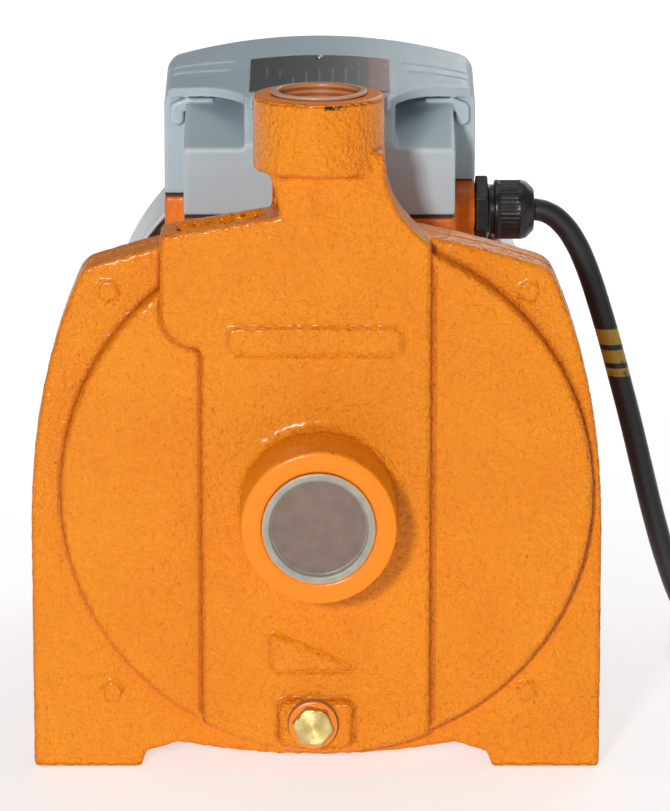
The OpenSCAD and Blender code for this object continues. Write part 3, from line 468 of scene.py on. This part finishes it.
def plate_print():
    """A dark anodised plate with a brown band and a few plain, broken rules inside a margin, and no
    lettering.
    """
    material, tree, shader = new_material("plate_print", metallic=0.55)
    x, y = node(tree, "SeparateXYZ", {0: position(tree)})[:2]
    left, right = PLATE_LOW[0], PLATE_HIGH[0]
    front, back = PLATE_LOW[1], PLATE_HIGH[1]
    body = blend(tree, noise(tree, 120, 4), colour(92, 95, 92), colour(80, 84, 81))
    band = between(tree, x, right - 8, right + 1, 0.2)
    body = blend(tree, band, body, colour(128, 98, 90))
    across, along_y = between(tree, x, left + 5, right - 12, 0.2), between(tree, y, front + 5, back - 6, 0.2)
    inside = math_node(tree, "MULTIPLY", across, along_y)
    rules = math_node(tree, "PINGPONG", math_node(tree, "MULTIPLY", x, 1000.0), 2.6)
    rules = math_node(tree, "MULTIPLY", shift(tree, rules, 0.3, 0.45, 1.0, 0.0), inside)
    broken = math_node(tree, "MULTIPLY", rules, shift(tree, noise(tree, 75, 0), 0.46, 0.48))
    body = blend(tree, broken, body, colour(124, 127, 123))
    dress(tree, shader, body, uneven(tree, 260, 4, 0.3, 0.44), bump(tree, noise(tree, 900, 3), 0.02))
    return material


FINISHES = (
    cast_paint, motor_paint, grey_plastic, cover_paint, zinc_steel, bright_steel, bearing_steel, brass,
    fibre, rubber, ceramic, translucent_cap, lamination, copper_wire, black_plastic, cord_rubber,
    cream_plastic, plate_print,
)
MATERIALS = {finish.__name__: finish() for finish in FINISHES}
SLOTS = {part["node"]: part["material_slot"] for part in frame["record"]["subparts"]}
BODY_OF = {name: body for body, names in frame["record"]["behaviour"]["bodies"].items() for name in names}

# ---- solids as distances on a grid, in millimetres ----


def softened(values, sigma):
    """A Gaussian blur with a width in voxels, which rounds edges and fills corners alike."""
    reach = math.ceil(2.5 * sigma)
    weights = np.exp(-0.5 * (np.arange(-reach, reach + 1) / sigma) ** 2).astype(np.float32)
    weights /= weights.sum()
    for axis in range(3):
        padding = [(reach, reach) if i == axis else (0, 0) for i in range(3)]
        wide = np.pad(values, padding, mode="edge")
        length = values.shape[axis]
        values = np.zeros_like(values)
        for k, weight in enumerate(weights):
            values += weight * part_of(wide, axis, k, length)
    return values


def part_of(values, axis, first, length):
    """A run of the grid's layers along one axis."""
    run = [slice(None)] * 3
    run[axis] = slice(first, first + length)
    return values[tuple(run)]


def lumps(shape, cell, seed):
    """Smooth random lumps about zero, a number of voxels apart."""
    made = np.random.default_rng(seed).standard_normal([int(n / cell) + 3 for n in shape]).astype(np.float32)
    for axis, n in enumerate(shape):
        places = np.arange(n) / cell
        low = places.astype(int)
        share = (places - low).astype(np.float32)
        share = (share * share * (3 - 2 * share)).reshape([-1 if i == axis else 1 for i in range(3)])
        made = np.take(made, low, axis) * (1 - share) + np.take(made, low + 1, axis) * share
    return made


def join(a, b, blend_width):
    """The nearer of two distances, with a fillet between the shapes."""
    h = np.maximum(blend_width - np.abs(a - b), 0) / blend_width
    return np.minimum(a, b) - h * h * blend_width / 4


def panel(a, b, low, high, radius):
    """The distance to a rectangle with rounded corners, in a plane."""
    half = [(high[i] - low[i]) / 2 - radius for i in (0, 1)]
    middle = [(high[i] + low[i]) / 2 for i in (0, 1)]
    da, db = np.abs(a - middle[0]) - half[0], np.abs(b - middle[1]) - half[1]
    return np.hypot(np.maximum(da, 0), np.maximum(db, 0)) + np.minimum(np.maximum(da, db), 0) - radius


def stroke(a, b, points):
    """The distance to a bent stroke in a plane, through (a, b, half width) points."""
    nearest = None
    for (a0, b0, r0), (a1, b1, r1) in zip(points, points[1:]):
        da, db = a1 - a0, b1 - b0
        share = np.clip(((a - a0) * da + (b - b0) * db) / (da * da + db * db), 0, 1)
        away = np.hypot(a - a0 - share * da, b - b0 - share * db) - (r0 + share * (r1 - r0))
        nearest = away if nearest is None else np.minimum(nearest, away)
    return nearest


def along(distance, where, low, high):
    """A plane shape given a start and an end along the third direction."""
    return np.maximum(distance, np.maximum(low - where, where - high))


def corners_of(name):
    """A CAD node's corners in millimetres, and its triangles."""
    mesh = frame["nodes"][name].data
    points = np.empty(len(mesh.vertices) * 3, np.float32)
    mesh.vertices.foreach_get("co", points)
    mesh.calc_loop_triangles()
    triangles = np.empty(len(mesh.loop_triangles) * 3, np.int32)
    mesh.loop_triangles.foreach_get("vertices", triangles)
    return points.reshape(-1, 3) / MM, triangles.reshape(-1, 3).astype(np.uint32)


EDGE_WIDTH = 1.2


class Solid:
    """A shape held as distances on a grid, which can be rounded, carved and added to."""

    def __init__(self, name, voxel, band=4):
        points, triangles = corners_of(name)
        grid = openvdb.FloatGrid.createLevelSetFromPolygons(
            points, triangles=triangles, transform=openvdb.createLinearTransform(voxel), halfWidth=band
        )
        low, high = grid.evalActiveVoxelBoundingBox()
        self.name, self.voxel = name, voxel
        self.low = np.array(low) - 2
        self.d = np.empty(np.array(high) + 3 - self.low, np.float32)
        grid.copyToArray(self.d, ijk=tuple(int(i) for i in self.low))
        steps = [(self.low[i] + np.arange(self.d.shape[i], dtype=np.float32)) * voxel for i in range(3)]
        self.x, self.y, self.z = steps[0][:, None, None], steps[1][None, :, None], steps[2][None, None, :]
        self.depth = self.y - FRONT_Y
        self.cast = None
        self.plain = None

    def round(self, sigma):
        self.d = softened(self.d, sigma / self.voxel)

    def carve(self, distance, blend_width=1.0):
        self.d = -join(-self.d, distance, blend_width)

    def add(self, distance, blend_width=1.0):
        self.d = join(self.d, distance, blend_width)

    def roughen(self, height, cell, share, seed):
        """Lumps of a height and spacing, whose share falls to nothing near the machined faces."""
        self.plain = self.d
        self.cast = np.broadcast_to(np.clip(share, 0, 1), self.d.shape).astype(np.float32)
        self.d = self.d - height * self.cast * lumps(self.d.shape, cell / self.voxel, seed)

    def at(self, values, points):
        """A grid's values at points given in voxels."""
        i = np.clip(np.rint(points).astype(int), 0, np.array(values.shape) - 1)
        return values[i[:, 0], i[:, 1], i[:, 2]]

    def mesh(self):
        """The surface, with how much its edges stand out and how rough it is cast."""
        limit = 3 * self.voxel
        grid = openvdb.FloatGrid(background=limit)
        grid.copyFromArray(np.clip(self.d, -limit, limit))
        points, quads = grid.convertToQuads(isovalue=0.0)
        made = bpy.data.meshes.new(self.name + "_looks")
        made.vertices.add(len(points))
        made.vertices.foreach_set("co", ((points + self.low) * self.voxel * MM).astype(np.float32).ravel())
        made.loops.add(quads.size)
        made.loops.foreach_set("vertex_index", quads.astype(np.int32).ravel())
        made.polygons.add(len(quads))
        made.polygons.foreach_set("loop_start", np.arange(0, quads.size, 4, dtype=np.int32))
        made.update(calc_edges=True)
        made.validate()
        made.shade_smooth()
        plain = self.d if self.plain is None else self.plain
        standing = softened(plain, EDGE_WIDTH / self.voxel) - plain
        self.store(made, "edge", self.at(standing, points))
        if self.cast is not None:
            self.store(made, "cast", self.at(self.cast, points))
        return made

    def store(self, mesh, name, values):
        mesh.attributes.new(name, "FLOAT", "POINT").data.foreach_set("value", values.astype(np.float32))

    def piece(self):
        """The piece that stands for the CAD node and rides on its body."""
        made = bpy.data.objects.new(self.name + "_looks", self.mesh())
        bpy.context.scene.collection.objects.link(made)
        made.data.materials.append(MATERIALS[SLOTS[self.name]])
        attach(made, BODY_OF[self.name])
        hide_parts(self.name)
        return made


# ---- casting and motor ----

POCKET = ((-54, 173), (-22, 228), (-6, 8))
POCKET_SKIN = 1.6
FLANGE_BACK = 14
FADE = 1.2
BAND_FACE = -12
TRIANGLE = (-18.2, 15.2, 42.2, 57)
BLANK_BAR = ((-34, 166.5), (31, 176.5))
BOLT_PADS = (80, (30.5, 188.3), 3.9)
RAISED = 1.1
SUCTION_THREAD = (19.475, 1.479, -41, -20)
DISCHARGE_THREAD = (15.145, 1.479, 236, 258)
PITCH = 2.309
SLEEVE = 2.2


def cast_marks(s):
    """The flow triangle and the blank bar on the band, and a round pad in front of each blind bolt hole."""
    left, right, low, high = TRIANGLE
    slope = (high - low) / (right - left)
    upper = (s.z - high + slope * (s.x - left)) / math.hypot(1, slope)
    triangle = np.maximum(np.maximum(upper, left - s.x), low - s.z)
    for mark in (triangle, panel(s.x, s.z, *BLANK_BAR, 2)):
        s.add(along(mark, s.depth, BAND_FACE - RAISED, 0), 0.5)
    pad_x, heights, pad_r = BOLT_PADS
    for height in heights:
        s.add(along(np.hypot(np.abs(s.x) - pad_x, s.z - height) - pad_r, s.depth, -RAISED, 4), 0.5)


def make_casing():
    """The volute casing: a cast skin with rounded edges, plain machined faces and a rough cored pocket."""
    s = Solid("pump_casing", 0.75)
    s.round(0.7)
    cast_marks(s)
    r = np.hypot(s.x, s.z - AXIS_Z)
    s.carve(along(r - SUCTION_THREAD[0] - SLEEVE + 0.5, s.depth, *SUCTION_THREAD[2:]), 0.3)
    r = np.hypot(s.x, s.y - DISCHARGE_Y)
    s.carve(along(r - DISCHARGE_THREAD[0] - SLEEVE + 0.5, s.z, *DISCHARGE_THREAD[2:]), 0.3)
    pocket = along(panel(s.x, s.z, *POCKET[:2], 1), s.depth, *POCKET[2])
    inside = np.clip(POCKET_SKIN - np.abs(pocket), 0, 1)
    s.d += 0.55 * inside * lumps(s.d.shape, 2.6 / s.voxel, 5)
    front = np.abs(s.depth + SUCTION_REACH) + 0 * s.z
    machined = np.minimum(np.minimum(front, TOP_Z - s.z), np.minimum(s.z, FLANGE_BACK - s.depth))
    s.roughen(0.13, 1.8, machined / FADE - 0.3, 3)
    return s.piece()


def make_bracket():
    s = Solid("motor_bracket", 0.9)
    s.round(0.8)
    s.roughen(0.08, 1.9, np.minimum(s.z, s.depth - FLANGE_BACK) / FADE - 0.3, 7)
    return s.piece()


def make_housing():
    s = Solid("motor_housing", 0.9)
    s.round(0.7)
    return s.piece()


def make_shield():
    s = Solid("rear_end_shield", 0.9)
    s.round(0.8)
    return s.piece()


def make_fan_cover():
    s = Solid("fan_cover", 0.7)
    s.round(0.5)
    return s.piece()


def thread_ring(name, body, thread, place):
    """A female pipe thread cut in the casting: one helical groove between two flat ends."""
    core, height, low, high = thread
    around, steps = 96, 10
    rows = round((high - low) / PITCH * steps)
    profile = []
    for i in range(rows + 1):
        fade = min(1, i / steps, (rows - i) / steps)
        profile.append((low + (high - low) * i / rows, fade))
    points, faces = [], []
    for reach, fade in profile:
        for k in range(around):
            turn = (reach / PITCH - k / around) % 1
            groove = height * fade * max(0.0, min(1.0, 2.2 * (0.5 - abs(turn - 0.5)) - 0.1))
            points.append(place(core + groove, 2 * math.pi * k / around, reach))
    for reach in (high, low):
        points.extend(place(core + SLEEVE, 2 * math.pi * k / around, reach) for k in range(around))
    loops = rows + 3
    for i in range(loops):
        a, b = i * around, (i + 1) % loops * around
        faces.extend((a + k, a + (k + 1) % around, b + (k + 1) % around, b + k) for k in range(around))
    mesh = bpy.data.meshes.new(name)
    mesh.from_pydata(points, [], faces)
    mesh.validate()
    mesh.shade_smooth()
    made = bpy.data.objects.new(name, mesh)
    bpy.context.scene.collection.objects.link(made)
    mesh.materials.append(MATERIALS["motor_paint"])
    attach(made, body)
    return made


def at(depth):
    """The Y of a depth behind the front face of the casing's flange."""
    return FRONT_Y + depth


def in_suction(r, angle, reach):
    return r * math.cos(angle) * MM, at(reach) * MM, (AXIS_Z + r * math.sin(angle)) * MM


def in_discharge(r, angle, reach):
    return r * math.cos(angle) * MM, (DISCHARGE_Y - r * math.sin(angle)) * MM, reach * MM


# ---- terminal box ----

ROOF_FRONT = (76, 252.5)
ROOF_RISE = 0.1281
ROOF_ARCH = 436
VISOR_EDGE = ((60, 107), (34, 89), (29.5, 76))
VISOR = 3.8
VISOR_INSIDE = 26
HOOK_DEPTH = (102.5, 110)
HOOK = [(-56.6, 237, 2.65), (-56.6, 241, 2.65), (-52.5, 243.4, 1.9), (-42.6, 244.6, 0.7)]
ENGRAVED = (
    ((-60.8, 136), (-34.3, 126)), ((-60.5, 128), (-36, 115)),
    ((33.8, 124), (61.0, 129)), ((36, 114), (61.2, 121)),
)
BOX_HALF = 62
CORNER_R = 6
SCREWS = (54, 148, 4.4)


def roof_height(x, depth):
    """The height of the box's arched roof, which rises to the back."""
    return ROOF_FRONT[1] + (depth - ROOF_FRONT[0]) * ROOF_RISE - x * x / ROOF_ARCH


def before(x, depth, a, b):
    """How far a place in plan lies in front of the line through two corners, right one first."""
    run, rise = a[0] - b[0], a[1] - b[1]
    return ((x - a[0]) * rise - (depth - a[1]) * run) / math.hypot(run, rise)


def make_terminal_cover():
    """The grey box cover: a visor and a hook on each side of the spine, and engraved lines on the roof."""
    s = Solid("terminal_cover", 0.55, 5)
    side = np.abs(s.x)
    under = s.z - roof_height(s.x, s.depth)
    rounded = np.hypot(np.maximum(side - BOX_HALF + CORNER_R, 0), np.maximum(under + CORNER_R, 0)) - CORNER_R
    s.carve(-rounded, 0.3)
    screw_x, screw_depth, well_r = SCREWS
    wells = np.hypot(side - screw_x, s.depth - screw_depth) - well_r
    s.add(np.maximum(np.maximum(wells, rounded + 0.3), -4 - under), 0.3)
    s.round(0.6)
    edge = join(before(side, s.depth, *VISOR_EDGE[:2]), before(side, s.depth, *VISOR_EDGE[1:]), 10)
    visor = np.maximum(np.maximum(edge, side - VISOR_EDGE[0][0]), np.maximum(under, -VISOR - under))
    s.add(np.maximum(visor, np.maximum(VISOR_INSIDE - side, s.depth - HOOK_DEPTH[1])), 0.6)
    hook = along(stroke(-side, s.z, HOOK), s.depth, *HOOK_DEPTH)
    s.add(hook, 0.6)
    for (x0, d0), (x1, d1) in ENGRAVED:
        line = stroke(s.x, s.depth, [(x0, d0, 0.95), (x1, d1, 0.55)])
        s.carve(np.maximum(line, -1.3 - under), 0.3)
    s.round(0.3)
    return s.piece()


def make_terminal_base():
    s = Solid("terminal_base", 0.7)
    s.round(0.7)
    s.roughen(0.06, 1.8, np.ones([1, 1, 1]), 11)
    return s.piece()


# ---- cable gland, plugs and caps ----

GLAND_Y = 62
GLAND_Z = 199
RIBS = 40


def make_gland_body():
    s = Solid("gland_body", 0.35)
    r = np.hypot(s.y - GLAND_Y, s.z - GLAND_Z)
    s.carve(-(r - 13.3 - np.minimum(s.x - 61.6, 67.2 - s.x)), 0.4)
    s.round(0.3)
    return s.piece()


def make_gland_nut():
    """The domed nut: chamfered hexagon, a finely ribbed waist and a rounded nose."""
    s = Solid("gland_nut", 0.3)
    y, z = s.y - GLAND_Y, s.z - GLAND_Z
    r = np.hypot(y, z)
    s.carve(-(r - 12.7 - np.minimum(s.x - 69.5, 81 - s.x)), 0.4)
    s.carve(-(r - 11.9 + np.maximum(s.x - 82.4, 0) * 0.9), 1.0)
    rib = 0.35 * np.cos(RIBS * np.arctan2(z, y))
    waist = along(11.75 + rib - r, s.x, 71.6, 79.2)
    s.carve(np.maximum(waist, -s.d - 1.0), 0.25)
    s.round(0.28)
    return s.piece()


def make_drain_plug():
    """The brass plug: a hexagon chamfered to a turned face, on a round collar."""
    s = Solid("drain_plug", 0.25)
    r = np.hypot(s.x - DRAIN_X, s.z - DRAIN_Z)
    front = s.depth - (DRAIN_LOW[1] - FRONT_Y)
    s.carve(-(r - 7.25 - front * 1.2), 0.2)
    s.round(0.22)
    return s.piece()


def make_small(name, voxel, sigma):
    """A small fitting with its edges eased."""
    s = Solid(name, voxel)
    s.round(sigma)
    return s.piece()


def make_plug():
    """The moulded plug: soft corners, finger flutes on both sides and a ribbed strain relief."""
    s = Solid("plug_body", 0.55)
    low, high = node_box("plug_body")
    middle_x, middle_z = (low[0] + high[0]) / 2, (low[2] + high[2]) / 2
    reach = s.y - low[1]
    r = np.hypot(s.x - middle_x, s.z - middle_z)
    for ring in (4, 8, 12, 16, 20):
        s.carve(along(6.0 + ring * 0.06 - r, reach, ring, ring + 1.6), 0.5)
    for flute in (44, 48, 52, 56):
        s.carve(np.hypot(reach - flute, np.abs(s.z - middle_z) - 11.6) - 1.3 + 0 * s.x, 0.6)
    s.round(0.9)
    return s.piece()


def make_fittings():
    make_small("suction_cap", 0.4, 0.3)
    make_small("discharge_cap", 0.4, 0.35)
    make_small("drain_washer", 0.3, 0.25)
    make_small("plug_pins", 0.3, 0.3)
    make_small("cord_tie", 0.5, 0.5)
    make_small("plate_rivets", 0.3, 0.3)
    make_small("gland_seal", 0.4, 0.3)
    make_small("terminal_gasket", 0.5, 0.3)


# ---- floor and light ----


def make_floor():
    """A wide, plain, pale floor that glows like a lamp: brightest towards the back, less under the pump and
    least far in front.
    """
    mesh = bpy.data.meshes.new("floor")
    half = 12
    corners = [(-half, -half, 0), (half, -half, 0), (half, half, 0), (-half, half, 0)]
    mesh.from_pydata(corners, [], [(0, 1, 2, 3)])
    floor = bpy.data.objects.new("floor", mesh)
    bpy.context.scene.collection.objects.link(floor)
    material, tree, shader = new_material("floor", emission_color=(1, 1, 1, 1))
    back = axis_of(tree, 1)
    # painted light: the floor's glow lights the pump from below and shows as a highlight in its paint
    behind, ahead = shift(tree, back, -0.2, 1.0, 0.55, 0.85), shift(tree, back, -1.6, -0.7, 0.6, 1.0)
    glow = math_node(tree, "MULTIPLY", behind, ahead)
    tree.links.new(glow, shader.inputs["Emission Strength"])
    body = blend(tree, noise(tree, 3, 2), colour(188, 188, 188), colour(194, 194, 194))
    tree.links.new(body, shader.inputs["Base Color"])
    tree.links.new(uneven(tree, 5, 2, 0.6, 0.7), shader.inputs["Roughness"])
    mesh.materials.append(material)


def make_light(name, place, aim, size, power):
    """A square soft light, in metres and watts, turned towards a point."""
    light = bpy.data.lights.new(name, "AREA")
    light.shape = "SQUARE"
    light.size = size
    light.energy = power
    lamp = bpy.data.objects.new(name, light)
    lamp.location = place
    lamp.rotation_euler = (Vector(aim) - Vector(place)).to_track_quat("-Z", "Y").to_euler()
    bpy.context.scene.collection.objects.link(lamp)


def make_lights():
    """A soft key from the front left at the camera's height, a wide weak fill, and low light all round."""
    make_light("key", (-0.42, -2.15, 0.72), (0, 0, 0.13), 0.2, 31)
    make_light("fill", (1.6, -1.9, 0.9), (0, 0, 0.13), 1.2, 4)
    make_light("top", (0, 0.2, 2.2), (0, 0.05, 0.1), 1.4, 7)
    make_light("back", (0.9, 2.2, 1.3), (0, 0.1, 0.12), 1.4, 14)
    world = bpy.data.worlds.new("studio")
    bpy.context.scene.world = world
    world.use_nodes = True
    background = world.node_tree.nodes["Background"]
    background.inputs["Color"].default_value = (0.93, 0.96, 1.0, 1.0)
    background.inputs["Strength"].default_value = 0.2
    bpy.context.scene.view_settings.view_transform = "Standard"


# ---- making ----

make_casing()
make_bracket()
make_housing()
make_shield()
make_fan_cover()
thread_ring("suction_thread", "pump_body", SUCTION_THREAD, in_suction)
thread_ring("discharge_thread", "pump_body", DISCHARGE_THREAD, in_discharge)
make_terminal_cover()
make_terminal_base()
make_gland_body()
make_gland_nut()
make_drain_plug()
make_fittings()
plug = make_plug()

cord.data.materials.append(MATERIALS["cord_rubber"])
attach(cord, BODY_OF["power_cord"])
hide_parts("power_cord", "cord_coil", "cord_tail")

for name, part in frame["nodes"].items():
    part.data.materials.clear()
    part.data.materials.append(MATERIALS[SLOTS[name]])

make_floor()
make_lights()
